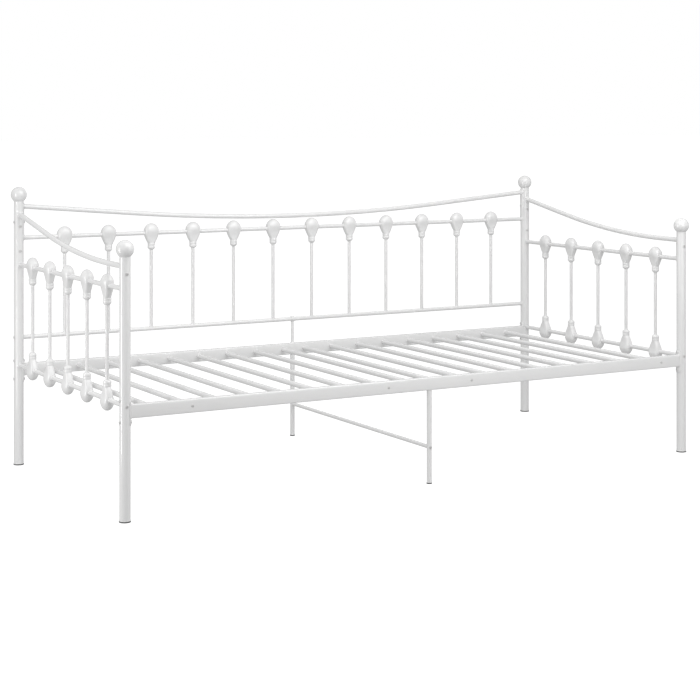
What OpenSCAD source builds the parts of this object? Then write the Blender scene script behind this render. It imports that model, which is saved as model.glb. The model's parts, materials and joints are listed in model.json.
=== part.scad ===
// Tubular steel daybed: four posts with ball finials, a back panel, two side panels,
// a slatted base and a centre support. Length runs along X, the back panel is on +Y,
// and the origin is on the floor at the centre of the bed.

/* [Overall] */
// Distance between post centres along the bed
bed_length = 2040; // [1800:10:2200]
// Distance between post centres across the bed
bed_width = 918; // [800:2:1100]
// Height of the ball centres on the back posts
back_ball_z = 890; // [880:1:1000]
// Height of the ball centres on the front posts
front_ball_z = 774; // [760:1:800]

/* [Posts] */
// Outer diameter of a corner post
post_d = 32; // [30:1:34]
// Wall thickness of a corner post
post_wall = 1.2; // [1:0.1:2]
// Diameter of a ball finial
ball_d = 52; // [46:1:60]
// Thickness of the pad under each foot
pad_h = 3.5; // [2:0.5:6]
// Height of the cap collar above the pad
collar_h = 4; // [3:0.5:6]

/* [Back panel] */
// Height of the top rail at mid length
top_rail_z = 791.3; // [780:0.1:800]
// Radius of the dip in the top rail
top_rail_bend_r = 7030; // [6500:10:9000]
// Half length of the curved stretch of the top rail
top_rail_arc_half = 600; // [400:10:700]
// Height of the rail that carries the castings
back_upper_z = 748; // [700:1:750]
// Height of the rail at the foot of the spindles
back_lower_z = 420; // [400:1:460]
// Number of spindles in the back panel
back_spindles_n = 12; // [6:1:13]
// Distance from a post centre to the first spindle of the back panel
back_margin = 159; // [120:1:200]

/* [Side panels] */
// Height of the arm rail at the front post
arm_z = 724.5; // [715:0.5:735]
// Radius of the sweep in the arm rail
arm_bend_r = 2990; // [2800:10:4000]
// Level stretch of the arm rail behind the front post centre
arm_level = 89; // [60:1:120]
// Straight slope of the arm rail ahead of the back post centre
arm_slope = 279; // [200:1:300]
// Height of the side rail that carries the upper castings
side_upper_z = 660; // [640:1:665]
// Height of the side rail that carries the lower castings
side_lower_z = 329; // [320:1:340]
// Number of spindles in a side panel
side_spindles_n = 5; // [3:1:5]
// Distance from a post centre to the first spindle of a side panel
side_margin = 136; // [110:1:160]

/* [Tubes] */
// Outer diameter of the top rail and the arm rails
arm_d = 16; // [14:0.5:18]
// Outer diameter of the other panel rails
panel_rail_d = 14; // [12:0.5:15]
// Outer diameter of a spindle
spindle_d = 11.5; // [10:0.5:12]
// Wall thickness of the panel rails and the slats
thin_wall = 1.2; // [1:0.1:1.5]

/* [Base] */
// Height of the bed rail section
rail_h = 40; // [36:1:50]
// Depth of the bed rail section
rail_t = 20; // [18:1:26]
// Height of the underside of the bed rails
rail_bottom_z = 293.5; // [280:0.5:300]
// Number of slats
slats_n = 18; // [12:2:20]
// Distance from a post centre to the first slat
slat_margin = 95.5; // [60:0.5:120]
// Distance between the two slats at the middle of the bed
slat_middle_gap = 86; // [60:1:130]
// Outer diameter of a slat
slat_d = 16; // [14:0.5:18]
// Outer diameter of a centre leg
leg_d = 16; // [15:0.5:18]
// Height of the brace between the centre legs
brace_z = 115; // [80:1:200]
// Outer diameter of the brace
brace_d = 12; // [10:0.5:14]
// Outer diameter of the strut between the back rail and the back panel
strut_d = 10; // [8:0.5:12]

/* [Hidden] */

$fn = 48;
ARC_FN = 720;       // fineness of the long bends
TANGENT_GAP = 0.02; // hairline between a bend and its straight ends, which stay exact solids
BORE = 0.25;        // radial clearance of a bolt in its hole
FIT = 0.1;          // radial clearance of a plug in its tube
CUT = 1;            // overshoot of a cutting tool
CUTTER = 60;        // reach of the cylinders that trim a tube to its neighbour

post_x = bed_length / 2;
post_y = bed_width / 2;
post_r = post_d / 2;
post_bore_r = post_r - post_wall;
ball_r = ball_d / 2;
ball_seat = sqrt(ball_r * ball_r - post_bore_r * post_bore_r);
stem_h = 24;
cap_lip = 0.4;
post_plug_h = 20;
leg_plug_h = 12;
post_pad_lip = 1.2;
leg_pad_lip = 0.8;

plate_t = 1.8;
plate_r = post_r + plate_t;
saddle_angle = 43;
bracket_angle = 57;
bracket_low = rail_bottom_z - 20.5;
bracket_high = rail_bottom_z + 53.5;

arm_r = arm_d / 2;
panel_r = panel_rail_d / 2;
spindle_r = spindle_d / 2;
slat_r = slat_d / 2;
leg_r = leg_d / 2;
brace_r = brace_d / 2;
strut_r = strut_d / 2;

rail_mid_z = rail_bottom_z + rail_h / 2;
rail_top_z = rail_bottom_z + rail_h;
rail_wall = 1.5;
rail_corner_r = 3;
slat_end = post_y + rail_t / 2 - rail_wall;
stud_r = 4;
stud_h = 30;
stud_step_h = 15;
brace_plug_l = 20;
clip_wall = 2.5;
clip_w = 12;
strut_flare_h = 5;
strut_flare_r = 8.4;

back_pitch = (bed_length - 2 * back_margin) / (back_spindles_n - 1);
side_pitch = (bed_width - 2 * side_margin) / (side_spindles_n - 1);
slats_half = slats_n / 2;
slat_pitch = (bed_length / 2 - slat_margin - slat_middle_gap / 2) / (slats_half - 1);
// Slats that are screwed to the front rail, counted from the left
screwed_slats = [1, slats_half - 2, slats_half + 1, slats_n - 1];

top_rail_angle = asin(top_rail_arc_half / top_rail_bend_r);
top_rail_rise = top_rail_bend_r * (1 - cos(top_rail_angle));
top_rail_end_z = top_rail_z + top_rail_rise + (post_x - top_rail_arc_half) * tan(top_rail_angle);
arm_arc = bed_width - arm_level - arm_slope;
arm_angle = asin(arm_arc / arm_bend_r);
arm_rise = arm_bend_r * (1 - cos(arm_angle));
arm_end_z = arm_z + arm_rise + arm_slope * tan(arm_angle);

// Casting outline about the axis of the rail that it sits on
cast_dome_r = 25;
cast_dome_z = 8;
cast_neck_z = -36;
cast_end_z = -57;
cast_socket_z = -22;

bolt_r = 3;
bolt_head_r = 5;
bolt_head_h = 2;
bolt_grip = 16; // reach of a bolt or screw into the end of a tube
nut_r = 5.5;
nut_h = 2.2;
nut_inset = post_bore_r - sqrt(post_bore_r * post_bore_r - nut_r * nut_r) + BORE;
insert_l = 25;
insert_inset = 4;
screw_r = 2.5;
screw_l = 20;
screw_head_r = 4.2;
screw_head_h = 1.8;
upper_bolt_z = 343;
lower_bolt_z = 283;
saddle_foot = 9;
saddle_head = 10;
back_saddle_bolt_z = 800;
side_bolt_z = 704.5;
side_back_bolt_z = 786;

// ---- Shared shapes ----

module tube(length, r, wall) {
    difference() {
        cylinder(h = length, r = r);
        translate([0, 0, -CUT]) cylinder(h = length + 2 * CUT, r = r - wall);
    }
}

module ring(r, wall) {
    difference() {
        circle(r = r);
        circle(r = r - wall);
    }
}

// Bent tube that starts at the origin along +X and curves up towards +Z
module bent_tube(bend_r, angle, r, wall) {
    translate([0, 0, bend_r]) rotate([90, 0, 0]) rotate([0, 0, -90])
        rotate_extrude(angle = angle, $fn = ARC_FN) translate([bend_r, 0]) ring(r, wall);
}

module along_x(x, y, z) {
    translate([x, y, z]) rotate([0, 90, 0]) children();
}

// Turns a shape made along +Z so that it runs along +Y
module along_y(x, y, z) {
    translate([x, y, z]) rotate([-90, 0, 0]) children();
}

module at_post(side, row) {
    translate([side * post_x, row * post_y, 0]) children();
}

// Local frame of a post in which +X points to the middle of the bed and +Y as well
module facing_in(side, row) {
    at_post(side, row) mirror([side > 0 ? 1 : 0, 0, 0]) mirror([0, row > 0 ? 1 : 0, 0])
        children();
}

// Upright cylinder that trims the end of a rail to a post or a plate
module seat_cutter(height, r) {
    translate([0, 0, height - CUTTER]) cylinder(h = 2 * CUTTER, r = r);
}

// Cylinder along X that trims an upright tube to a rail
module rail_cutter(height, r) {
    along_x(-CUTTER / 2, 0, height) cylinder(h = CUTTER, r = r);
}

module bolt_hole(length) {
    translate([0, 0, -CUT]) cylinder(h = length + 2 * CUT, r = bolt_r + BORE);
}

// Button-head bolt: head below z = 0, shank along +Z
module bolt(length, head_r = bolt_head_r, head_h = bolt_head_h, shank_r = bolt_r) {
    dome_r = (head_r * head_r + head_h * head_h) / (2 * head_h);
    cylinder(h = length, r = shank_r);
    difference() {
        intersection() {
            translate([0, 0, dome_r - head_h]) sphere(r = dome_r);
            translate([0, 0, -head_h]) cylinder(h = head_h, r = head_r);
        }
        translate([0, 0, -head_h - CUT]) cylinder(h = CUT + head_h * 0.6, r = head_r * 0.4, $fn = 6);
    }
}

module nut() {
    difference() {
        cylinder(h = nut_h, r = nut_r, $fn = 6);
        translate([0, 0, -CUT]) cylinder(h = nut_h + 2 * CUT, r = bolt_r + BORE);
    }
}

module rounded_square(w, h, r) {
    square([w - 2 * r, h], center = true);
    square([w, h - 2 * r], center = true);
    for (x = [-1, 1], y = [-1, 1])
        translate([x * (w / 2 - r), y * (h / 2 - r)]) circle(r = r);
}

// Curved plate on the side of a post that faces +X, between two heights
module curved_plate(low, high, half_angle, bolt_heights) {
    difference() {
        rotate([0, 0, -half_angle]) rotate_extrude(angle = 2 * half_angle)
            translate([post_r, low]) square([plate_t, high - low]);
        for (z = bolt_heights) along_x(0, 0, z) bolt_hole(plate_r);
    }
}

// ---- Posts ----

module post(side, row) {
    top = (row > 0 ? back_ball_z : front_ball_z) - ball_seat;
    x_bolts = row > 0 ? [lower_bolt_z, upper_bolt_z, back_lower_z, back_saddle_bolt_z]
                      : [lower_bolt_z, upper_bolt_z];
    y_bolts = row > 0 ? [side_lower_z, side_bolt_z, side_back_bolt_z]
                      : [side_lower_z, side_bolt_z];
    color("white") facing_in(side, row) difference() {
        translate([0, 0, pad_h + collar_h]) tube(top - pad_h - collar_h, post_r, post_wall);
        for (z = x_bolts) along_x(-post_r, 0, z) bolt_hole(post_d);
        for (z = y_bolts) along_y(0, -post_r, z) bolt_hole(post_d);
    }
}

module finial(side, row) {
    z = row > 0 ? back_ball_z : front_ball_z;
    color("white") at_post(side, row) {
        translate([0, 0, z]) sphere(r = ball_r);
        translate([0, 0, z - ball_seat - stem_h]) cylinder(h = stem_h + ball_seat, r = post_bore_r - 2 * FIT);
    }
}

module foot_cap(outer_r, bore_r, plug_h) {
    translate([0, 0, pad_h]) {
        cylinder(h = collar_h, r = outer_r + cap_lip);
        cylinder(h = collar_h + plug_h, r = bore_r - FIT);
    }
}

module foot(side, row) {
    color("white") at_post(side, row) foot_cap(post_r, post_bore_r, post_plug_h);
}

module foot_pads() {
    color("dimgray") for (side = [-1, 1], row = [-1, 1])
        at_post(side, row) cylinder(h = pad_h, r = post_r + post_pad_lip);
}

// ---- Castings and spindles ----

// Half outline from the front: dome, shoulders and taper to the neck
function casting_front() = concat(
    [for (i = [0:6]) let (a = 90 - 15 * i)
        [cast_dome_r * cos(a), cast_dome_z + cast_dome_r * sin(a)]],
    [[25, -6], [22, -18], [17, -29], [11.5, cast_neck_z], [0, cast_neck_z]]
);

// Outline from the side: thick dome and a thin leaf below it
module casting_side() {
    half = [[8, 36], [8, 30], [15, 20], [17.5, 9], [14.5, -6.5], [11.5, -11], [9.2, -26], [9.2, -40]];
    polygon(concat(half, [for (i = [len(half) - 1:-1:0]) [-half[i][0], half[i][1]]]));
}

module casting_neck() {
    rotate([0, 0, 45]) rotate_extrude() polygon([
        [0, -33], [11, -33], [11, -36.5], [12.4, -37.5], [12.4, -41.5], [11.6, -42.5],
        [11.6, -45.5], [12.6, -46.5], [12.6, -51], [10, -54.5], [7.5, cast_end_z], [0, cast_end_z]
    ]);
}

// Casting on a rail along X through the origin, neck down
module casting() {
    difference() {
        union() {
            intersection() {
                rotate([0, 0, 45]) rotate_extrude() polygon(casting_front());
                translate([-CUTTER / 2, 0, 0]) rotate([90, 0, 90]) linear_extrude(height = CUTTER)
                    casting_side();
            }
            casting_neck();
        }
        rail_cutter(0, panel_r);
        translate([0, 0, cast_end_z - CUT])
            cylinder(h = cast_socket_z - cast_end_z + CUT, r = spindle_r);
    }
}

module back_spindles() {
    top = back_upper_z + cast_socket_z;
    color("white") for (i = [0:back_spindles_n - 1])
        translate([-post_x + back_margin + i * back_pitch, post_y, 0]) difference() {
            translate([0, 0, back_lower_z]) tube(top - back_lower_z, spindle_r, thin_wall);
            rail_cutter(back_lower_z, panel_r);
        }
}

module back_castings() {
    color("white") for (i = [0:back_spindles_n - 1])
        translate([-post_x + back_margin + i * back_pitch, post_y, back_upper_z]) casting();
}

module side_spindles(side) {
    top = side_upper_z + cast_socket_z;
    bottom = side_lower_z - cast_socket_z;
    color("white") for (i = [0:side_spindles_n - 1])
        translate([side * post_x, -post_y + side_margin + i * side_pitch, bottom])
            tube(top - bottom, spindle_r, thin_wall);
}

module side_castings(side, height, inverted) {
    color("white") for (i = [0:side_spindles_n - 1])
        translate([side * post_x, -post_y + side_margin + i * side_pitch, height])
            mirror([0, 0, inverted ? 1 : 0]) rotate([0, 0, 90]) casting();
}

// ---- Back panel rails ----

module back_top_rail() {
    straight = (post_x - top_rail_arc_half) / cos(top_rail_angle);
    color("white") for (m = [0, 1]) mirror([m, 0, 0]) {
        translate([0, post_y, top_rail_z])
            bent_tube(top_rail_bend_r, top_rail_angle, arm_r, thin_wall);
        difference() {
            translate([top_rail_arc_half, post_y, top_rail_z + top_rail_rise])
                rotate([0, 90 - top_rail_angle, 0]) translate([0, 0, TANGENT_GAP])
                    tube(straight, arm_r, thin_wall);
            at_post(1, 1) seat_cutter(top_rail_end_z, plate_r);
        }
    }
}

module back_rail(height, seat_r) {
    color("white") difference() {
        along_x(-post_x, post_y, height) tube(bed_length, panel_r, thin_wall);
        for (side = [-1, 1]) at_post(side, 1) seat_cutter(height, seat_r);
    }
}

module back_saddle(side) {
    color("white") at_post(side, 1) rotate([0, 0, side > 0 ? 180 : 0])
        curved_plate(back_upper_z - saddle_foot, top_rail_end_z + saddle_head, saddle_angle,
            [back_saddle_bolt_z]);
}

// ---- Side panel rails ----

module side_arm(side) {
    straight = arm_slope / cos(arm_angle);
    color("white") translate([side * post_x, -post_y, 0]) rotate([0, 0, 90]) {
        difference() {
            along_x(0, 0, arm_z) tube(arm_level - TANGENT_GAP, arm_r, thin_wall);
            seat_cutter(arm_z, plate_r);
        }
        translate([arm_level, 0, arm_z]) bent_tube(arm_bend_r, arm_angle, arm_r, thin_wall);
        difference() {
            translate([arm_level + arm_arc, 0, arm_z + arm_rise]) rotate([0, 90 - arm_angle, 0])
                translate([0, 0, TANGENT_GAP]) tube(straight, arm_r, thin_wall);
            translate([bed_width, 0, 0]) seat_cutter(arm_end_z, plate_r);
        }
    }
}

module side_rail(side, height, seat_r) {
    color("white") difference() {
        along_y(side * post_x, -post_y, height) tube(bed_width, panel_r, thin_wall);
        for (row = [-1, 1]) at_post(side, row) seat_cutter(height, seat_r);
    }
}

// Saddle on the side of a post that faces along the side panel
module side_saddle(side, row) {
    high = (row > 0 ? arm_end_z : arm_z) + saddle_head;
    bolts = row > 0 ? [side_bolt_z, side_back_bolt_z] : [side_bolt_z];
    color("white") at_post(side, row) rotate([0, 0, -90 * row])
        curved_plate(side_upper_z - saddle_foot, high, saddle_angle, bolts);
}

// ---- Base ----

// Place of a slat along the bed, counted from the left: two even groups about the middle
function slat_x(i) =
    i < slats_half
    ? -slat_middle_gap / 2 - (slats_half - 1 - i) * slat_pitch
    : slat_middle_gap / 2 + (i - slats_half) * slat_pitch;

module bed_rail(row) {
    inner_r = rail_corner_r - rail_wall;
    color("white") difference() {
        translate([-post_x, row * post_y, rail_mid_z]) rotate([90, 0, 90])
            linear_extrude(height = bed_length) difference() {
                rounded_square(rail_t, rail_h, rail_corner_r);
                rounded_square(rail_t - 2 * rail_wall, rail_h - 2 * rail_wall, inner_r);
            }
        for (side = [-1, 1]) at_post(side, row) translate([0, 0, rail_bottom_z - CUT])
            cylinder(h = rail_h + 2 * CUT, r = plate_r);
        for (i = [0:slats_n - 1]) along_y(slat_x(i), -slat_end, rail_mid_z)
            cylinder(h = 2 * slat_end, r = slat_r);
        if (row < 0) for (i = screwed_slats)
            along_y(slat_x(i), -slat_end - 2 * rail_wall, rail_mid_z)
                cylinder(h = 4 * rail_wall, r = screw_r + BORE);
        translate([0, row * post_y, rail_bottom_z - CUT]) cylinder(h = 2 * CUT + rail_wall, r = stud_r + BORE);
    }
}

module rail_bracket(side, row) {
    color("white") at_post(side, row) rotate([0, 0, side > 0 ? 180 : 0])
        curved_plate(bracket_low, bracket_high, bracket_angle, [lower_bolt_z, upper_bolt_z]);
}

module slats() {
    color("white") for (i = [0:slats_n - 1])
        along_y(slat_x(i), -slat_end, rail_mid_z)
            tube(2 * slat_end, slat_r, thin_wall);
}

module slat_screws() {
    color("silver") for (i = screwed_slats)
        along_y(slat_x(i), -post_y - rail_t / 2, rail_mid_z)
            bolt(screw_l, screw_head_r, screw_head_h, screw_r);
}

module slat_inserts() {
    color("gray") for (i = screwed_slats)
        along_y(slat_x(i), -slat_end, rail_mid_z)
            tube(insert_l, slat_r - thin_wall, slat_r - thin_wall - screw_r - BORE);
}

// ---- Centre support ----

module centre_leg(row) {
    foot_top = pad_h + collar_h;
    color("white") translate([0, row * post_y, 0]) difference() {
        translate([0, 0, foot_top]) tube(rail_bottom_z - foot_top, leg_r, thin_wall);
        along_y(0, -leg_r, brace_z) bolt_hole(leg_d);
    }
}

// Stepped studs that screw the legs to the bed rails
module leg_studs() {
    color("silver") for (row = [-1, 1])
        translate([0, row * post_y, rail_bottom_z - stud_step_h]) {
            cylinder(h = stud_step_h, r = leg_r - thin_wall - FIT);
            cylinder(h = stud_h, r = stud_r);
        }
}

module leg_caps() {
    color("white") for (row = [-1, 1])
        translate([0, row * post_y, 0]) foot_cap(leg_r, leg_r - thin_wall, leg_plug_h);
}

module leg_pads() {
    color("dimgray") for (row = [-1, 1])
        translate([0, row * post_y, 0]) cylinder(h = pad_h, r = leg_r + leg_pad_lip);
}

module leg_brace() {
    color("white") difference() {
        along_y(0, -post_y, brace_z) cylinder(h = bed_width, r = brace_r);
        along_y(0, -post_y + leg_r + brace_plug_l, brace_z)
            cylinder(h = bed_width - 2 * leg_r - 2 * brace_plug_l, r = brace_r - thin_wall);
        for (row = [-1, 1]) translate([0, row * post_y, 0]) seat_cutter(brace_z, leg_r);
        along_y(0, -post_y, brace_z) cylinder(h = bed_width, r = bolt_r + BORE);
    }
}

module brace_screws() {
    color("silver") for (row = [-1, 1]) mirror([0, row > 0 ? 1 : 0, 0])
        along_y(0, -post_y - leg_r, brace_z) bolt(leg_d + bolt_grip);
}

module strut() {
    color("white") translate([0, post_y, 0]) difference() {
        union() {
            translate([0, 0, rail_top_z]) cylinder(h = back_lower_z - rail_top_z, r = strut_r);
            translate([0, 0, rail_top_z])
                cylinder(h = strut_flare_h, r1 = strut_flare_r, r2 = strut_r);
        }
        rail_cutter(back_lower_z, panel_r + clip_wall);
    }
}

module strut_clip() {
    color("white") along_x(-clip_w / 2, post_y, back_lower_z)
        tube(clip_w, panel_r + clip_wall, clip_wall);
}

// ---- Fasteners ----

// Bolts through the posts that hold the back panel and the side panels
module panel_bolts() {
    through = post_d + plate_t + nut_h;
    into_end = post_d + bolt_grip;
    color("silver") for (side = [-1, 1]) {
        facing_in(side, 1) {
            along_x(-post_r, 0, back_saddle_bolt_z) bolt(through);
            along_x(-post_r, 0, back_lower_z) bolt(into_end);
            along_y(0, -post_r, side_lower_z) bolt(into_end);
            for (z = [side_bolt_z, side_back_bolt_z])
                translate([0, plate_r, z]) rotate([90, 0, 0]) bolt(plate_t + post_wall + nut_h);
        }
        facing_in(side, -1) {
            along_y(0, -post_r, side_bolt_z) bolt(through);
            along_y(0, -post_r, side_lower_z) bolt(into_end);
        }
    }
}

module panel_nuts() {
    color("silver") for (side = [-1, 1]) {
        facing_in(side, 1) {
            along_x(plate_r, 0, back_saddle_bolt_z) nut();
            for (z = [side_bolt_z, side_back_bolt_z])
                along_y(0, post_bore_r - nut_h - nut_inset, z) nut();
        }
        facing_in(side, -1) along_y(0, plate_r, side_bolt_z) nut();
    }
}

module rail_bolts() {
    color("silver") for (side = [-1, 1], row = [-1, 1], z = [lower_bolt_z, upper_bolt_z])
        facing_in(side, row) along_x(-post_r, 0, z) bolt(post_d + plate_t + nut_h);
}

module rail_nuts() {
    color("silver") for (side = [-1, 1], row = [-1, 1], z = [lower_bolt_z, upper_bolt_z])
        facing_in(side, row) along_x(plate_r, 0, z) nut();
}

// Tapped plugs inside the ends of the rails that bolt straight to the posts
module rail_end_inserts() {
    plug_r = panel_r - thin_wall;
    color("gray") for (side = [-1, 1]) {
        facing_in(side, 1) {
            along_x(post_r + insert_inset, 0, back_lower_z) tube(insert_l, plug_r, plug_r - bolt_r - BORE);
            along_y(0, post_r + insert_inset, side_lower_z) tube(insert_l, plug_r, plug_r - bolt_r - BORE);
        }
        facing_in(side, -1)
            along_y(0, post_r + insert_inset, side_lower_z) tube(insert_l, plug_r, plug_r - bolt_r - BORE);
    }
}

post(-1, -1);  // post_front_left
post(1, -1);  // post_front_right
post(-1, 1);  // post_back_left
post(1, 1);  // post_back_right
finial(-1, -1);  // finial_front_left
finial(1, -1);  // finial_front_right
finial(-1, 1);  // finial_back_left
finial(1, 1);  // finial_back_right
foot(-1, -1);  // foot_front_left
foot(1, -1);  // foot_front_right
foot(-1, 1);  // foot_back_left
foot(1, 1);  // foot_back_right
foot_pads();
back_top_rail();
back_rail(back_upper_z, plate_r);  // back_upper_rail
back_rail(back_lower_z, post_r);  // back_lower_rail
back_spindles();
back_castings();
back_saddle(-1);  // back_saddle_left
back_saddle(1);  // back_saddle_right
side_arm(-1);  // left_arm
side_rail(-1, side_upper_z, plate_r);  // left_upper_rail
side_rail(-1, side_lower_z, post_r);  // left_lower_rail
side_spindles(-1);  // left_spindles
side_castings(-1, side_upper_z, false);  // left_upper_castings
side_castings(-1, side_lower_z, true);  // left_lower_castings
side_saddle(-1, -1);  // left_front_saddle
side_saddle(-1, 1);  // left_back_saddle
side_arm(1);  // right_arm
side_rail(1, side_upper_z, plate_r);  // right_upper_rail
side_rail(1, side_lower_z, post_r);  // right_lower_rail
side_spindles(1);  // right_spindles
side_castings(1, side_upper_z, false);  // right_upper_castings
side_castings(1, side_lower_z, true);  // right_lower_castings
side_saddle(1, -1);  // right_front_saddle
side_saddle(1, 1);  // right_back_saddle
bed_rail(-1);  // bed_rail_front
bed_rail(1);  // bed_rail_back
rail_bracket(-1, -1);  // rail_bracket_front_left
rail_bracket(1, -1);  // rail_bracket_front_right
rail_bracket(-1, 1);  // rail_bracket_back_left
rail_bracket(1, 1);  // rail_bracket_back_right
slats();
slat_screws();
slat_inserts();
centre_leg(-1);  // centre_leg_front
centre_leg(1);  // centre_leg_back
leg_studs();
leg_caps();
leg_pads();
leg_brace();
brace_screws();
strut();
strut_clip();
panel_bolts();
panel_nuts();
rail_bolts();
rail_nuts();
rail_end_inserts();
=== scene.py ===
import json
import math

import bmesh
import bpy
from mathutils import Matrix, Vector, noise


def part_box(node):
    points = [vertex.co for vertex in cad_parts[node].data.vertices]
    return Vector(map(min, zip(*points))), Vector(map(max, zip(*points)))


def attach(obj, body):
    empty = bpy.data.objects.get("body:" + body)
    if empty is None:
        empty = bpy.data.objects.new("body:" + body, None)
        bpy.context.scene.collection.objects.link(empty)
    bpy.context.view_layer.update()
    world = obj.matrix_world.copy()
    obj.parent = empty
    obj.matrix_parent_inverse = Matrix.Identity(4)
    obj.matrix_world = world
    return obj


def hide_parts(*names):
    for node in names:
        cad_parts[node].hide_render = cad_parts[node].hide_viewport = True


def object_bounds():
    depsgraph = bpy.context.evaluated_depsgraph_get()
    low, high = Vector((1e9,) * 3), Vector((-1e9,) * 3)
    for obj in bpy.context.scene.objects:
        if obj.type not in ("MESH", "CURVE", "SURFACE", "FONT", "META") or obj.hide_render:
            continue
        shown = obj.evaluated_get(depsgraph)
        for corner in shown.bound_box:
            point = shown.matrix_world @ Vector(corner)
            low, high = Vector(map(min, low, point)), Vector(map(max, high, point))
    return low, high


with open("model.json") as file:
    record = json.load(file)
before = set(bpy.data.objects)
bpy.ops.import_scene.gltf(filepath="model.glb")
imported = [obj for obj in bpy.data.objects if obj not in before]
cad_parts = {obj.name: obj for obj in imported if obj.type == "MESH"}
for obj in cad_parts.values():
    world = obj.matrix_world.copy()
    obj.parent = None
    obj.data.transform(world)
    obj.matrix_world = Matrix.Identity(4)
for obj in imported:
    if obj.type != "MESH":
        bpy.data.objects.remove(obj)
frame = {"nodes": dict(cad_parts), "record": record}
cad_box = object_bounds()

MM = 0.001
LEFT, RIGHT, FRONT, BACK = -1, 1, -1, 1
SIDES = {LEFT: "left", RIGHT: "right"}
ROWS = {FRONT: "front", BACK: "back"}
# Points closer than this are one point
MERGE = 0.01 * MM


# ---------------------------------------------------------------- places, read from the frame

def centre(node):
    low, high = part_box(node)
    return (low + high) / 2


def size(node):
    low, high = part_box(node)
    return high - low


def post_name(side, row):
    return f"post_{ROWS[row]}_{SIDES[side]}"


def post_at(side, row):
    middle = centre(post_name(side, row))
    return Vector((middle.x, middle.y, 0))


def loose_parts(node):
    """Corners of every separate solid of a node, as lists of its points."""
    shell = bmesh.new()
    shell.from_mesh(frame["nodes"][node].data)
    bmesh.ops.remove_doubles(shell, verts=shell.verts, dist=MERGE)
    left_over = set(shell.verts)
    parts = []
    while left_over:
        seeds = [left_over.pop()]
        part = []
        while seeds:
            vertex = seeds.pop()
            part.append(vertex.co.copy())
            for edge in vertex.link_edges:
                other = edge.other_vert(vertex)
                if other in left_over:
                    left_over.remove(other)
                    seeds.append(other)
        parts.append(part)
    shell.free()
    return sorted(parts, key=lambda points: tuple(middle_of(points)))


def corners_of(points):
    """Lowest and highest corner of the box round some points."""
    low = Vector([min(p[i] for p in points) for i in range(3)])
    high = Vector([max(p[i] for p in points) for i in range(3)])
    return low, high


def middle_of(points):
    low, high = corners_of(points)
    return (low + high) / 2


POST_R = size("post_front_left").x / 2
PLATE_T = 1.8 * MM
PLATE_R = POST_R + PLATE_T
PANEL_RAIL_R = size("back_lower_rail").y / 2
ARM_R = size("left_arm").x / 2
SPINDLE_R = size("back_spindles").y / 2
BOLT_R = 3 * MM
SCREW_R = 2.5 * MM
# Radius that stands for a point on an axis
HAIR = 0.02 * MM
# Points round a turned piece or a fastener
AROUND = 48
# Edges that turn by more than this stay crisp in the shading
SHARP_ANGLE = math.radians(48)
# Gap from the outside of a tube to the plug inside it: ball stem, post foot, centre leg foot
BALL_STEM_GAP = 1.6 * MM
POST_PLUG_GAP = 1.4 * MM
LEG_PLUG_GAP = 1.3 * MM
BALL_STEM_L = 24 * MM
# How far inside the tube's skin the ball meets its rim
BALL_SEAT_GAP = 0.4 * MM
BALL_AROUND = 64
CAP_EASE = 0.9 * MM
PLUG_EASE = 1 * MM
# Share of a pad's height that its rounded edges take
PAD_EASE = 0.35
PLATE_CORNER = 7 * MM
BRACKET_CORNER = 10 * MM
PLATE_EDGE = 0.6 * MM
PLATE_COLUMNS = 20
PLATE_ROWS = 14
PANEL_BEAD_R = 1.5 * MM
SPINDLE_BEAD_R = 1.1 * MM
RAIL_BEAD_R = 1.4 * MM
# First numbers of the ripples in the weld beads
SPINDLE_SEED = 50
RAIL_SEED = 90
# Bed rail: corner radius, rise of its faces, squareness of its weld, and steps of its mesh
RAIL_CORNER = 3 * MM
RAIL_CROWN = 0.9 * MM
RAIL_SQUARENESS = 9
RAIL_STATIONS = 24
RAIL_CORNER_STEPS = 8


# ---------------------------------------------------------------- materials

# Scales of the textures, in features to the metre or so
TONE_SCALE = 5.0
HANDLING_SCALE = 34.0
SWELL_SCALE = 130.0
PEEL_SCALE = 1100.0
RUBBER_SCALE = 700.0
DUST_SCALE = 60.0
SPANGLE_SCALE = 450.0
TURNING_SCALE = 2500.0
# Relief of the coat, and how far its tone drifts to each side
SWELL_DEPTH = 0.6 * MM
PEEL_DEPTH = 0.1 * MM
TONE_DRIFT = 0.012


def new_material(name):
    material = bpy.data.materials.new(name)
    material.use_nodes = True
    nodes = material.node_tree.nodes
    return material, nodes, material.node_tree.links, nodes["Principled BSDF"]


def noise_node(nodes, links, coords, scale, detail=2.0):
    texture = nodes.new("ShaderNodeTexNoise")
    texture.inputs["Scale"].default_value = scale
    texture.inputs["Detail"].default_value = detail
    links.new(coords.outputs["Object"], texture.inputs["Vector"])
    return texture


def ramp_node(nodes, links, source, low, high, start=0.3, end=0.7):
    """Maps a noise to a colour, or to a grey level, between two values."""
    ramp = nodes.new("ShaderNodeValToRGB")
    ramp.color_ramp.elements[0].position = start
    ramp.color_ramp.elements[1].position = end
    ramp.color_ramp.elements[0].color = low
    ramp.color_ramp.elements[1].color = high
    links.new(source.outputs["Fac"], ramp.inputs["Fac"])
    return ramp


def grey(value, warmth=0.0):
    return (value + warmth, value, value - warmth, 1)


def bump_node(nodes, links, source, distance, strength, under=None):
    bump = nodes.new("ShaderNodeBump")
    bump.inputs["Distance"].default_value = distance
    bump.inputs["Strength"].default_value = strength
    links.new(source.outputs["Fac"], bump.inputs["Height"])
    if under:
        links.new(under.outputs["Normal"], bump.inputs["Normal"])
    return bump


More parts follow.
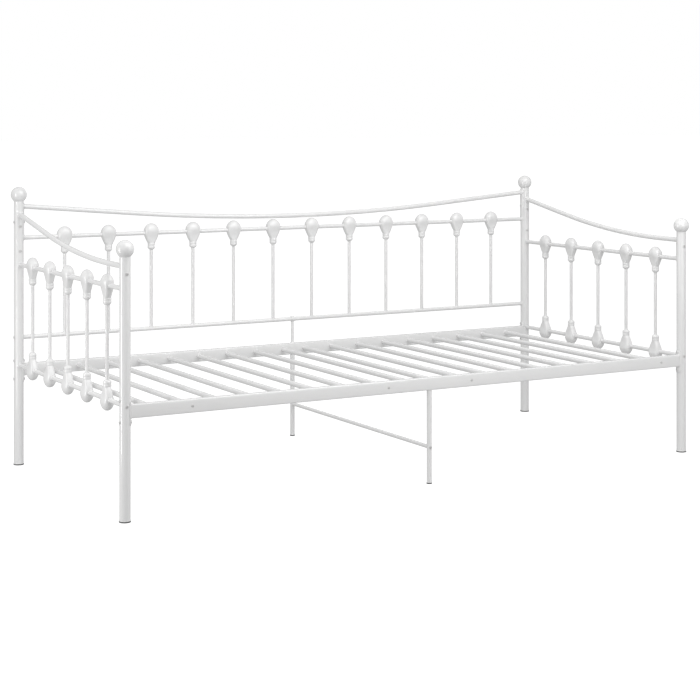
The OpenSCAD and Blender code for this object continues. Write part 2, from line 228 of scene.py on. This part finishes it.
def coated(name, tone, rough_low, rough_high, peel, swell, gloss_blur=0.05):
    """White coat: drifting tone and gloss, the fine peel of the powder and a slow swell."""
    material, nodes, links, shader = new_material(name)
    coords = nodes.new("ShaderNodeTexCoord")
    drift = noise_node(nodes, links, coords, TONE_SCALE)
    colour = ramp_node(nodes, links, drift, grey(tone - TONE_DRIFT), grey(tone + TONE_DRIFT, 0.002))
    links.new(colour.outputs["Color"], shader.inputs["Base Color"])
    handling = noise_node(nodes, links, coords, HANDLING_SCALE, 4.0)
    gloss = ramp_node(nodes, links, handling, grey(rough_low), grey(rough_high))
    links.new(gloss.outputs["Color"], shader.inputs["Roughness"])
    waves = noise_node(nodes, links, coords, SWELL_SCALE)
    slow = bump_node(nodes, links, waves, SWELL_DEPTH, swell)
    grain = noise_node(nodes, links, coords, PEEL_SCALE, 3.0)
    fine = bump_node(nodes, links, grain, PEEL_DEPTH, peel, slow)
    links.new(fine.outputs["Normal"], shader.inputs["Normal"])
    shader.inputs["Specular IOR Level"].default_value = 0.5
    shader.inputs["Coat Weight"].default_value = 1.0
    shader.inputs["Coat Roughness"].default_value = gloss_blur
    return material


def rubber_pad(name):
    material, nodes, links, shader = new_material(name)
    coords = nodes.new("ShaderNodeTexCoord")
    speckle = noise_node(nodes, links, coords, RUBBER_SCALE, 3.0)
    colour = ramp_node(nodes, links, speckle, grey(0.075), grey(0.12))
    links.new(colour.outputs["Color"], shader.inputs["Base Color"])
    dust = noise_node(nodes, links, coords, DUST_SCALE)
    rough = ramp_node(nodes, links, dust, grey(0.6), grey(0.8))
    links.new(rough.outputs["Color"], shader.inputs["Roughness"])
    grain = bump_node(nodes, links, speckle, 0.15 * MM, 0.5)
    links.new(grain.outputs["Normal"], shader.inputs["Normal"])
    return material


def zinc_plate(name):
    """Bright zinc on small screws: a mottled grey with fine turning marks."""
    material, nodes, links, shader = new_material(name)
    coords = nodes.new("ShaderNodeTexCoord")
    spangle = noise_node(nodes, links, coords, SPANGLE_SCALE, 3.0)
    colour = ramp_node(nodes, links, spangle, grey(0.56, 0.004), grey(0.68, 0.004))
    links.new(colour.outputs["Color"], shader.inputs["Base Color"])
    rough = ramp_node(nodes, links, spangle, grey(0.3), grey(0.48))
    links.new(rough.outputs["Color"], shader.inputs["Roughness"])
    turning = noise_node(nodes, links, coords, TURNING_SCALE)
    marks = bump_node(nodes, links, turning, 0.05 * MM, 0.4)
    links.new(marks.outputs["Normal"], shader.inputs["Normal"])
    shader.inputs["Metallic"].default_value = 0.35
    return material


LOOKS = {
    "powder_coat": coated("powder_coat", 0.80, 0.14, 0.22, 0.03, 0.0015),
    "cast_paint": coated("cast_paint", 0.80, 0.28, 0.36, 0.12, 0.09, 0.24),
    "ball_paint": coated("ball_paint", 0.79, 0.12, 0.16, 0.03, 0.01),
    "foot_cap": coated("foot_cap", 0.80, 0.28, 0.38, 0.12, 0.01),
    "foot_pad": rubber_pad("foot_pad"),
    "fastener": zinc_plate("fastener"),
}


def dress_cad_nodes():
    """Gives every carried-over CAD node the material of its slot in the record."""
    for subpart in frame["record"]["subparts"]:
        node = frame["nodes"][subpart["node"]]
        look = LOOKS[subpart["material_slot"]]
        for material_slot in node.material_slots:
            material_slot.material = look


# ---------------------------------------------------------------- mesh helpers

def piece(name, mesh_data, slot, *nodes):
    """Turns a bmesh into a smooth object of the fixed frame, in place of the CAD nodes named."""
    bmesh.ops.remove_doubles(mesh_data, verts=mesh_data.verts, dist=MERGE)
    bmesh.ops.recalc_face_normals(mesh_data, faces=mesh_data.faces)
    mesh = bpy.data.meshes.new(name)
    mesh_data.to_mesh(mesh)
    mesh_data.free()
    obj = bpy.data.objects.new(name, mesh)
    bpy.context.scene.collection.objects.link(obj)
    mesh.materials.append(LOOKS[slot])
    mesh.shade_smooth()
    mesh.set_sharp_from_angle(angle=SHARP_ANGLE)
    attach(obj, "root")
    if nodes:
        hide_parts(*nodes)
    return obj


def add_rings(target, rings, close_start=True, close_end=True, loop=False):
    """Skins a list of rings of points, each with the same number of points."""
    made = [[target.verts.new(point) for point in ring] for ring in rings]
    count = len(made[0])
    pairs = list(zip(made, made[1:]))
    if loop:
        pairs.append((made[-1], made[0]))
    for first, second in pairs:
        for i in range(count):
            j = (i + 1) % count
            target.faces.new((first[i], first[j], second[j], second[i]))
    if not loop and close_start:
        target.faces.new(list(reversed(made[0])))
    if not loop and close_end:
        target.faces.new(made[-1])


def circle(count):
    return [2 * math.pi * i / count for i in range(count)]


def add_lathe(target, profile, place, count=AROUND):
    """Turns a profile of (radius, height) points about the Z axis of a place."""
    rings = []
    for radius, height in profile:
        reach = max(radius, HAIR)
        rings.append([place @ Vector((reach * math.cos(a), reach * math.sin(a), height))
                      for a in circle(count)])
    add_rings(target, rings)


def arc(centre_r, centre_z, radius, start, end, steps):
    """Points of a profile along an arc, with its angles in degrees from the +r direction."""
    points = []
    for i in range(steps + 1):
        angle = math.radians(start + (end - start) * i / steps)
        points.append((centre_r + radius * math.cos(angle), centre_z + radius * math.sin(angle)))
    return points


# Direction that the rings of a weld bead lean to, so that neighbouring rings stay aligned
BEAD_GUIDE = Vector((0.31, 0.47, 0.83))
# Ripples of a bead: share of its radius, and how close together they are
RIPPLE_SHARE = 0.10
RIPPLE_SCALE = 900


def add_bead(target, path, radius, seed, sides=10):
    """Weld bead along a closed path, with the ripples that a torch leaves."""
    count = len(path)
    rings = []
    for i, point in enumerate(path):
        tangent = (path[(i + 1) % count] - path[i - 1]).normalized()
        side = (BEAD_GUIDE - tangent * BEAD_GUIDE.dot(tangent)).normalized()
        up = tangent.cross(side)
        ripple = 1 + RIPPLE_SHARE * noise.noise(point * RIPPLE_SCALE + Vector((seed, 0, 0)))
        rings.append([point + (side * math.cos(a) + up * math.sin(a)) * radius * ripple
                      for a in circle(sides)])
    add_rings(target, rings, loop=True)


# ---------------------------------------------------------------- castings

# Height about the rail's axis, half width along the rail, half thickness, squareness of the
# section (2 is round), all in millimetres, from the dome down to the foot of the neck
CASTING_LEVELS = [
    (33.0, 0.0, 0.0, 2.0),
    (32.4, 5.6, 4.6, 2.0),
    (30.2, 11.4, 8.9, 2.0),
    (26.5, 16.8, 12.4, 2.1),
    (21.0, 21.6, 15.3, 2.2),
    (14.5, 24.7, 17.1, 2.5),
    (8.0, 25.5, 17.6, 2.8),
    (2.0, 25.4, 16.6, 3.2),
    (-4.0, 24.7, 14.9, 3.8),
    (-9.0, 23.4, 13.5, 4.2),
    (-14.0, 21.7, 12.5, 4.2),
    (-20.0, 19.3, 11.7, 4.0),
    (-26.0, 16.7, 11.2, 3.4),
    (-31.0, 14.4, 11.0, 2.8),
    (-35.0, 12.3, 11.0, 2.3),
]
# Radius and height of the round neck with its two soft bands, in millimetres
CASTING_NECK = [
    (11.6, -36.2), (12.2, -37.0), (12.5, -38.2), (12.5, -40.8), (12.2, -42.2), (11.8, -43.4),
    (11.8, -44.6), (12.2, -45.8), (12.6, -47.0), (12.6, -50.2), (12.1, -51.8), (10.9, -53.4),
    (9.2, -55.0), (7.8, -56.2), (6.6, -56.9), (5.8, -56.9),
]
CASTING_AROUND = 56
CASTING_STEPS = 3
# Least half width of a ring, in millimetres
CASTING_TIP = 0.05


def between(levels, steps):
    """Catmull-Rom spline through the rows of a table, with some steps between each two."""
    rows = []
    last = len(levels) - 1
    for i in range(last):
        four = [levels[max(i - 1, 0)], levels[i], levels[i + 1], levels[min(i + 2, last)]]
        for step in range(steps):
            t = step / steps
            rows.append([0.5 * (2 * b + (c - a) * t + (2 * a - 5 * b + 4 * c - d) * t * t
                                + (3 * b - a - 3 * c + d) * t ** 3)
                         for a, b, c, d in zip(*four)])
    rows.append(list(levels[-1]))
    return rows


def superellipse(angle, half_x, half_y, power):
    """Point of a rounded oblong: an ellipse at power 2, nearly a rectangle at 9."""
    cos_a, sin_a = math.cos(angle), math.sin(angle)
    return (half_x * math.copysign(abs(cos_a) ** (2 / power), cos_a),
            half_y * math.copysign(abs(sin_a) ** (2 / power), sin_a))


def add_casting(target, place):
    """Cast knuckle on a rail along the local X axis, with its neck towards local -Z."""
    rings = []
    sides = circle(CASTING_AROUND)
    for height, half_x, half_y, power in between(CASTING_LEVELS, CASTING_STEPS):
        half_x, half_y = max(half_x, CASTING_TIP), max(half_y, CASTING_TIP)
        outline = [superellipse(a, half_x, half_y, power) for a in sides]
        rings.append([place @ (Vector((x, y, height)) * MM) for x, y in outline])
    for radius, height in CASTING_NECK:
        rings.append([place @ (Vector((radius * math.cos(a), radius * math.sin(a), height)) * MM)
                      for a in sides])
    add_rings(target, rings)


def make_castings(node, rail_node, along_y, inverted):
    """All the knuckles of one rail, as one piece of separate shells."""
    target = bmesh.new()
    rail_z = centre(rail_node).z
    turn = Matrix.Rotation(math.pi / 2 if along_y else 0, 4, "Z")
    flip = Matrix.Rotation(math.pi if inverted else 0, 4, "X")
    for part in loose_parts(node):
        middle = middle_of(part)
        place = Matrix.Translation((middle.x, middle.y, rail_z))
        add_casting(target, place @ turn @ flip)
    piece(node + "_cast", target, "cast_paint", node)


# ---------------------------------------------------------------- plates and welds

def facing(side, row, axis):
    """Rotation that turns local +X from a post towards the bed, along X or along Y."""
    if axis == "x":
        return Matrix.Rotation(math.pi if side == RIGHT else 0, 4, "Z")
    return Matrix.Rotation(-row * math.pi / 2, 4, "Z")


def plate_sheet(place, half_w, low_z, high_z, corner):
    """Sheet on the skin of a post, with its corners rounded off."""
    target = bmesh.new()
    grid = []
    for i in range(PLATE_COLUMNS + 1):
        s = -half_w + 2 * half_w * (0.5 - 0.5 * math.cos(math.pi * i / PLATE_COLUMNS))
        past = max(abs(s) - (half_w - corner), 0)
        drop = corner - math.sqrt(max(corner * corner - past * past, 0))
        angle = s / POST_R
        column = []
        for j in range(PLATE_ROWS + 1):
            z = low_z + drop + (high_z - low_z - 2 * drop) * j / PLATE_ROWS
            at = Vector((POST_R * math.cos(angle), POST_R * math.sin(angle), z))
            column.append(target.verts.new(place @ at))
        grid.append(column)
    for left, right in zip(grid, grid[1:]):
        for j in range(PLATE_ROWS):
            target.faces.new((left[j], right[j], right[j + 1], left[j + 1]))
    return target


def make_plate(name, side, row, axis, node, corner=PLATE_CORNER):
    """Pressed plate that hugs a post, with rounded corners and eased edges."""
    low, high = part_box(node)
    across = (high.y - low.y) if axis == "x" else (high.x - low.x)
    half_w = math.asin(across / 2 / PLATE_R) * POST_R
    place = Matrix.Translation(post_at(side, row)) @ facing(side, row, axis)
    obj = piece(name, plate_sheet(place, half_w, low.z, high.z, corner), "powder_coat", node)
    middle_face = obj.data.polygons[len(obj.data.polygons) // 2]
    away = middle_face.center - post_at(side, row)
    away.z = 0
    solid = obj.modifiers.new("thickness", "SOLIDIFY")
    solid.thickness = PLATE_T
    solid.offset = 1 if middle_face.normal.dot(away) > 0 else -1
    edge = obj.modifiers.new("eased_edge", "BEVEL")
    edge.width = PLATE_EDGE
    edge.segments = 2
    edge.limit_method = "ANGLE"
    edge.angle_limit = math.radians(50)


def tube_seat(place, tube_r, seat_r, height, steps=40):
    """Path where a round tube along local +X meets an upright cylinder."""
    points = []
    for angle in circle(steps):
        y = tube_r * math.cos(angle)
        z = height + tube_r * math.sin(angle)
        points.append(place @ Vector((math.sqrt(seat_r ** 2 - y * y), y, z)))
    return points


def make_panel_welds():
    """Beads where the arms and the panel rails meet the plates on the posts."""
    target = bmesh.new()
    seed = 0
    arm_low, arm_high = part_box("left_arm")
    top_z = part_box("back_top_rail")[1].z - ARM_R
    side_z = centre("left_upper_rail").z
    back_z = centre("back_upper_rail").z
    for side in SIDES:
        for row in ROWS:
            place = Matrix.Translation(post_at(side, row)) @ facing(side, row, "y")
            arm_z = arm_high.z - ARM_R if row == BACK else arm_low.z + ARM_R
            for tube_r, z in ((ARM_R, arm_z), (PANEL_RAIL_R, side_z)):
                add_bead(target, tube_seat(place, tube_r, PLATE_R, z), PANEL_BEAD_R, seed)
                seed += 1
        place = Matrix.Translation(post_at(side, BACK)) @ facing(side, BACK, "x")
        for tube_r, z in ((ARM_R, top_z), (PANEL_RAIL_R, back_z)):
            add_bead(target, tube_seat(place, tube_r, PLATE_R, z), PANEL_BEAD_R, seed)
            seed += 1
    piece("panel_welds", target, "powder_coat")


def make_spindle_welds():
    """Small welds where the spindles of the back panel stand on its lower rail."""
    target = bmesh.new()
    rail = centre("back_lower_rail")
    for seed, part in enumerate(loose_parts("back_spindles")):
        x = middle_of(part).x
        path = []
        for angle in circle(36):
            y = SPINDLE_R * math.sin(angle)
            z = math.sqrt(PANEL_RAIL_R ** 2 - y * y)
            path.append(Vector((x + SPINDLE_R * math.cos(angle), rail.y + y, rail.z + z)))
        add_bead(target, path, SPINDLE_BEAD_R, seed + SPINDLE_SEED)
    piece("spindle_welds", target, "powder_coat")


def rail_outline(half_y, half_z, corner, crown):
    """Outline of a rolled rail: rounded corners, and long faces that crown a little."""
    steps = RAIL_CORNER_STEPS
    points = []
    for k, (side, up) in enumerate(((1, -1), (1, 1), (-1, 1), (-1, -1))):
        for i in range(steps + 1):
            angle = math.pi / 2 * (k - 1 + i / steps)
            points.append((side * (half_y - corner) + corner * math.cos(angle),
                           up * (half_z - corner) + corner * math.sin(angle)))
        if k % 2 == 0:
            reach = half_z - corner
            points += [(side * half_y, side * reach * (2 * i / steps - 1)) for i in range(1, steps)]
    return [(y * (1 - crown / half_y * (z / half_z) ** 2), z) for y, z in points]


def make_bed_rail(row):
    """Bed rail whose ends follow the round of the brackets that they are welded to."""
    node = f"bed_rail_{ROWS[row]}"
    middle = centre(node)
    outline = rail_outline(size(node).y / 2, size(node).z / 2, RAIL_CORNER, RAIL_CROWN)
    left, right = post_at(LEFT, row).x, post_at(RIGHT, row).x
    rings = []
    for i in range(RAIL_STATIONS + 1):
        share = i / RAIL_STATIONS
        ring = []
        for y, z in outline:
            seat = math.sqrt(PLATE_R ** 2 - y * y)
            x = left + seat + (right - left - 2 * seat) * share
            ring.append(Vector((x, middle.y + y, middle.z + z)))
        rings.append(ring)
    target = bmesh.new()
    add_rings(target, rings)
    piece(node + "_tube", target, "powder_coat", node)


def make_rail_welds():
    """Welds round the bed rails where they meet their curved brackets."""
    target = bmesh.new()
    for seed, (side, row) in enumerate((s, r) for s in SIDES for r in ROWS):
        rail = f"bed_rail_{ROWS[row]}"
        half_y, half_z = size(rail).y / 2, size(rail).z / 2
        height = centre(rail).z
        place = Matrix.Translation(post_at(side, row)) @ facing(side, row, "x")
        path = []
        for angle in circle(96):
            y, z = superellipse(angle, half_y, half_z, RAIL_SQUARENESS)
            path.append(place @ Vector((math.sqrt(PLATE_R ** 2 - y * y), y, height + z)))
        add_bead(target, path, RAIL_BEAD_R, seed + RAIL_SEED)
    piece("bed_rail_welds", target, "powder_coat")


# ---------------------------------------------------------------- turned pieces

def make_finial(side, row):
    """Ball on a post, with the stem that plugs the tube."""
    node = f"finial_{ROWS[row]}_{SIDES[side]}"
    low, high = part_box(node)
    ball_r = (high.x - low.x) / 2
    seat_r = POST_R - BALL_SEAT_GAP
    seat_angle = math.degrees(math.acos(seat_r / ball_r))
    stem_r = POST_R - BALL_STEM_GAP
    profile = [(stem_r, low.z), (stem_r, high.z - ball_r - BALL_STEM_L)]
    profile += arc(0, high.z - ball_r, ball_r, -seat_angle, 90, 40)
    target = bmesh.new()
    add_lathe(target, profile, Matrix.Translation(post_at(side, row)), BALL_AROUND)
    piece(f"ball_{ROWS[row]}_{SIDES[side]}", target, "ball_paint", node)


def add_cap(target, at, low, high, collar_r, collar_h, plug_r):
    """Foot cap: rounded collar under the tube and a plug inside it."""
    ease = CAP_EASE
    profile = [(0, low), (collar_r - ease, low)]
    profile += arc(collar_r - ease, low + ease, ease, -90, 0, 4)
    profile += arc(collar_r - ease, low + collar_h - ease, ease, 0, 90, 4)
    profile += [(plug_r, low + collar_h), (plug_r, high - PLUG_EASE),
                (plug_r - PLUG_EASE, high), (0, high)]
    add_lathe(target, profile, Matrix.Translation(at))


def add_pad(target, at, radius, height):
    """Soft pad that bulges a little under the load."""
    ease = height * PAD_EASE
    profile = [(0, 0), (radius - ease, 0)]
    profile += arc(radius - ease, ease, ease, -90, 0, 4)
    profile += arc(radius - ease, height - ease, ease, 0, 90, 4)
    profile += [(0, height)]
    add_lathe(target, profile, Matrix.Translation(at))


def make_feet():
    """Caps and pads of the four posts."""
    pad_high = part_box("foot_pads")[1]
    pad_r = pad_high.x - post_at(RIGHT, BACK).x
    pads = bmesh.new()
    for side in SIDES:
        for row in ROWS:
            node = f"foot_{ROWS[row]}_{SIDES[side]}"
            low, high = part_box(node)
            collar_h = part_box(post_name(side, row))[0].z - low.z
            target = bmesh.new()
            add_cap(target, post_at(side, row), low.z, high.z, (high.x - low.x) / 2, collar_h,
                    POST_R - POST_PLUG_GAP)
            piece(node + "_cap", target, "foot_cap", node)
            add_pad(pads, post_at(side, row), pad_r, pad_high.z)
    piece("post_pads", pads, "foot_pad", "foot_pads")


def make_leg_feet():
    """Caps and pads of the two centre legs."""
    low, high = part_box("leg_caps")
    pad_low, pad_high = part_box("leg_pads")
    caps, pads = bmesh.new(), bmesh.new()
    for row in ROWS:
        leg = f"centre_leg_{ROWS[row]}"
        at = Vector((centre(leg).x, centre(leg).y, 0))
        collar_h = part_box(leg)[0].z - low.z
        add_cap(caps, at, low.z, high.z, (high.x - low.x) / 2, collar_h,
                size(leg).x / 2 - LEG_PLUG_GAP)
        add_pad(pads, at, (pad_high.x - pad_low.x) / 2, pad_high.z)
    piece("leg_foot_caps", caps, "foot_cap", "leg_caps")
    piece("leg_foot_pads", pads, "foot_pad", "leg_pads")


# ---------------------------------------------------------------- fasteners

# Shares of a bolt head's radius and height, from its seat to the rim of its socket
HEAD_PROFILE = [(1.0, 0.0), (1.0, 0.16), (0.95, 0.42), (0.82, 0.70), (0.66, 0.88), (0.52, 0.98)]
# Width across the flats of the socket, as a share of the head's radius, and how high its
# floor and the foot of its rim are, as shares of the head's height
SOCKET_SHARE = 0.78
SOCKET_FLOOR = 0.15
SOCKET_RIM = 0.92
RIM_FLARE = 1.06
# End of a shank: its share of the radius, and the length that it tapers over
TIP_SHARE = 0.8
TIP_EASE = 0.6 * MM
# Chamfer of a nut, as shares of its corner radius and of its height
NUT_CORNER = 0.9
NUT_CHAMFER = 0.12


def hexagon(across, count=AROUND):
    """Radius of a hexagon of a size across its flats, at each of a circle of angles."""
    return [across / 2 / math.cos((a % (math.pi / 3)) - math.pi / 6) for a in circle(count)]


def add_turned(target, place, levels):
    """Skins rings given by height and one radius for each angle."""
    rings = []
    for height, radii in levels:
        rings.append([place @ Vector((r * math.cos(a), r * math.sin(a), height))
                      for r, a in zip(radii, circle(len(radii)))])
    add_rings(target, rings)


def bolt_shape(points):
    """Seat of the head with +Z out of it, head radius and height, and length below it."""
    low, high = corners_of(points)
    axis = max(range(3), key=lambda i: high[i] - low[i])
    middle = (low + high) / 2

    def reach(point):
        away = point - middle
        away[axis] = 0
        return away.length

    head_r = max(reach(p) for p in points)
    rim = [p[axis] for p in points if reach(p) > 0.95 * head_r]
    seat = sum(rim) / len(rim)
    outwards = 1 if seat > middle[axis] else -1
    tip, end = (high[axis], low[axis]) if outwards > 0 else (low[axis], high[axis])
    out = Vector((0, 0, 0))
    out[axis] = outwards
    middle[axis] = seat
    place = Matrix.Translation(middle) @ out.to_track_quat("Z", "Y").to_matrix().to_4x4()
    return place, head_r, abs(tip - seat), abs(seat - end)


def make_bolts(node, shank_r):
    """Button-head bolts with a hexagon socket, on the places of a node's solids."""
    target = bmesh.new()
    for points in loose_parts(node):
        place, head_r, head_h, length = bolt_shape(points)
        socket = hexagon(head_r * SOCKET_SHARE)
        levels = [(-length, [HAIR] * AROUND), (-length, [shank_r * TIP_SHARE] * AROUND),
                  (-length + TIP_EASE, [shank_r] * AROUND), (0, [shank_r] * AROUND)]
        levels += [(head_h * up, [head_r * wide] * AROUND) for wide, up in HEAD_PROFILE]
        levels += [(head_h, [r * RIM_FLARE for r in socket]), (head_h * SOCKET_RIM, socket),
                   (head_h * SOCKET_FLOOR, socket), (head_h * SOCKET_FLOOR, [HAIR] * AROUND)]
        add_turned(target, place, levels)
    piece(node + "_heads", target, "fastener", node)


def make_nuts(node, bore_r):
    """Hexagon nuts with chamfered corners, on the places of a node's solids."""
    target = bmesh.new()
    for points in loose_parts(node):
        low, high = corners_of(points)
        axis = min(range(3), key=lambda i: high[i] - low[i])
        height = high[axis] - low[axis]
        corner_r = max(high[i] - low[i] for i in range(3)) / 2
        base = (low + high) / 2
        base[axis] = low[axis]
        out = Vector((0, 0, 0))
        out[axis] = 1
        place = Matrix.Translation(base) @ out.to_track_quat("Z", "Y").to_matrix().to_4x4()
        flats = hexagon(corner_r * math.sqrt(3))
        eased = [min(r, corner_r * NUT_CORNER) for r in flats]
        bore = [bore_r] * AROUND
        rings = [(0, bore), (0, eased), (height * NUT_CHAMFER, flats),
                 (height * (1 - NUT_CHAMFER), flats), (height, eased), (height, bore)]
        made = [[place @ Vector((r * math.cos(a), r * math.sin(a), z))
                 for r, a in zip(radii, circle(AROUND))] for z, radii in rings]
        add_rings(target, made, loop=True)
    piece(node + "_hex", target, "powder_coat", node)


# ---------------------------------------------------------------- stage

# Floor: its tone, the light that it adds of its own, and half its width in metres
FLOOR_TONE = 0.35
FLOOR_GLOW = 0.82
FLOOR_HALF = 60
# Brightness of the tent round the bed: underneath, level with it and overhead
TENT_BELOW = 0.46
TENT_SIDES = 0.56
TENT_ABOVE = 0.80
# Brightness of the softboxes, and their sizes and places in metres
KEY_LEVEL = 2.1
KEY_SIZE = (2.4, 1.5)
KEY_FROM_MIDDLE = Vector((0, -1.31, 1.64))
SIDE_LEVEL = 7.5
SIDE_SIZE = (0.36, 1.3)
SIDE_PAST_END = 1.45
SIDE_Y = -0.25
SIDE_Z = 0.55
FILL_LEVEL = 1.0
FILL_SIZE = (1.3, 1.3)
FILL_AT = Vector((0.55, -2.3, 0.95))
# The photo's view: turn to the right of +Y, place in metres, lens, and shift of the frame
VIEW_YAW = math.radians(29.705)
CAMERA_AT = Vector((-2.879, -5.005, 1.162))
LENS_MM = 88.34
SENSOR_MM = 36
FRAME_SHIFT = -0.3396


def make_floor():
    """White floor that only the camera sees, with the softest of contact shadows."""
    material, nodes, links, shader = new_material("pale_floor")
    shader.inputs["Base Color"].default_value = grey(FLOOR_TONE)
    shader.inputs["Roughness"].default_value = 1.0
    shader.inputs["Specular IOR Level"].default_value = 0.0
    shader.inputs["Emission Color"].default_value = grey(1.0)
    shader.inputs["Emission Strength"].default_value = FLOOR_GLOW
    target = bmesh.new()
    bmesh.ops.create_grid(target, x_segments=2, y_segments=2, size=FLOOR_HALF)
    mesh = bpy.data.meshes.new("floor")
    target.to_mesh(mesh)
    target.free()
    mesh.materials.append(material)
    floor = bpy.data.objects.new("floor", mesh)
    bpy.context.scene.collection.objects.link(floor)
    floor.visible_diffuse = False
    floor.visible_glossy = False
    floor.visible_transmission = False
    floor.visible_shadow = False


def make_world():
    """White to the eye; the light that it gives is a soft tent, brighter overhead."""
    world = bpy.data.worlds.new("studio")
    bpy.context.scene.world = world
    world.use_nodes = True
    nodes, links = world.node_tree.nodes, world.node_tree.links
    tent = nodes["Background"]
    height = nodes.new("ShaderNodeSeparateXYZ")
    links.new(nodes.new("ShaderNodeTexCoord").outputs["Generated"], height.inputs["Vector"])
    share = nodes.new("ShaderNodeMapRange")
    share.inputs["From Min"].default_value = -1
    links.new(height.outputs["Z"], share.inputs["Value"])
    shades = nodes.new("ShaderNodeValToRGB")
    shades.color_ramp.elements[0].color = grey(TENT_BELOW)
    shades.color_ramp.elements[1].color = grey(TENT_ABOVE)
    shades.color_ramp.elements.new(0.5).color = grey(TENT_SIDES)
    links.new(share.outputs["Result"], shades.inputs["Fac"])
    links.new(shades.outputs["Color"], tent.inputs["Color"])
    white = nodes.new("ShaderNodeBackground")
    white.inputs["Color"].default_value = grey(1.0)
    path = nodes.new("ShaderNodeLightPath")
    mix = nodes.new("ShaderNodeMixShader")
    links.new(path.outputs["Is Camera Ray"], mix.inputs["Fac"])
    links.new(tent.outputs["Background"], mix.inputs[1])
    links.new(white.outputs["Background"], mix.inputs[2])
    links.new(mix.outputs["Shader"], nodes["World Output"].inputs["Surface"])


def add_softbox(name, at, aim, sides, brightness):
    """Rectangular softbox, as bright in a reflection as the number says."""
    data = bpy.data.lights.new(name, "AREA")
    data.shape = "RECTANGLE"
    data.size, data.size_y = sides
    data.energy = brightness * math.pi * sides[0] * sides[1]
    light = bpy.data.objects.new(name, data)
    bpy.context.scene.collection.objects.link(light)
    light.location = at
    light.rotation_euler = (aim - at).to_track_quat("-Z", "Y").to_euler()
    light.visible_camera = False


def make_lights():
    """A wide softbox over the front, an upright one past the left end, a weak one for the right."""
    low, high = (Vector(corner) for corner in cad_box)
    middle = (low + high) / 2
    key_at = middle + KEY_FROM_MIDDLE
    add_softbox("key", key_at, middle, KEY_SIZE, KEY_LEVEL)
    side_at = Vector((low.x - SIDE_PAST_END, SIDE_Y, SIDE_Z))
    add_softbox("side", side_at, side_at + Vector((1, 0, 0)), SIDE_SIZE, SIDE_LEVEL)
    add_softbox("fill", FILL_AT, Vector((high.x, high.y / 2, middle.z)), FILL_SIZE, FILL_LEVEL)


def make_camera():
    """Level camera at chest height to the front left, its frame shifted down to the bed."""
    data = bpy.data.cameras.new("camera")
    data.lens = LENS_MM
    data.sensor_width = SENSOR_MM
    data.shift_y = FRAME_SHIFT
    camera = bpy.data.objects.new("camera", data)
    bpy.context.scene.collection.objects.link(camera)
    camera.location = CAMERA_AT
    camera.rotation_euler = (math.pi / 2, 0, -VIEW_YAW)
    bpy.context.scene.camera = camera


# ---------------------------------------------------------------- build

bpy.context.scene.view_settings.view_transform = "Standard"
make_camera()
dress_cad_nodes()
make_castings("back_castings", "back_upper_rail", False, False)
for side_name in SIDES.values():
    make_castings(f"{side_name}_upper_castings", f"{side_name}_upper_rail", True, False)
    make_castings(f"{side_name}_lower_castings", f"{side_name}_lower_rail", True, True)
for bed_side in SIDES:
    make_plate(f"back_plate_{SIDES[bed_side]}", bed_side, BACK, "x", f"back_saddle_{SIDES[bed_side]}")
    for bed_row in ROWS:
        make_finial(bed_side, bed_row)
        make_plate(f"{SIDES[bed_side]}_{ROWS[bed_row]}_plate", bed_side, bed_row, "y",
                   f"{SIDES[bed_side]}_{ROWS[bed_row]}_saddle")
        make_plate(f"bracket_{ROWS[bed_row]}_{SIDES[bed_side]}", bed_side, bed_row, "x",
                   f"rail_bracket_{ROWS[bed_row]}_{SIDES[bed_side]}", BRACKET_CORNER)
for bed_row in ROWS:
    make_bed_rail(bed_row)
make_panel_welds()
make_spindle_welds()
make_rail_welds()
make_feet()
make_leg_feet()
make_bolts("panel_bolts", BOLT_R)
make_bolts("rail_bolts", BOLT_R)
make_bolts("brace_screws", BOLT_R)
make_bolts("slat_screws", SCREW_R)
make_nuts("panel_nuts", BOLT_R)
make_nuts("rail_nuts", BOLT_R)
make_floor()
make_world()
make_lights()
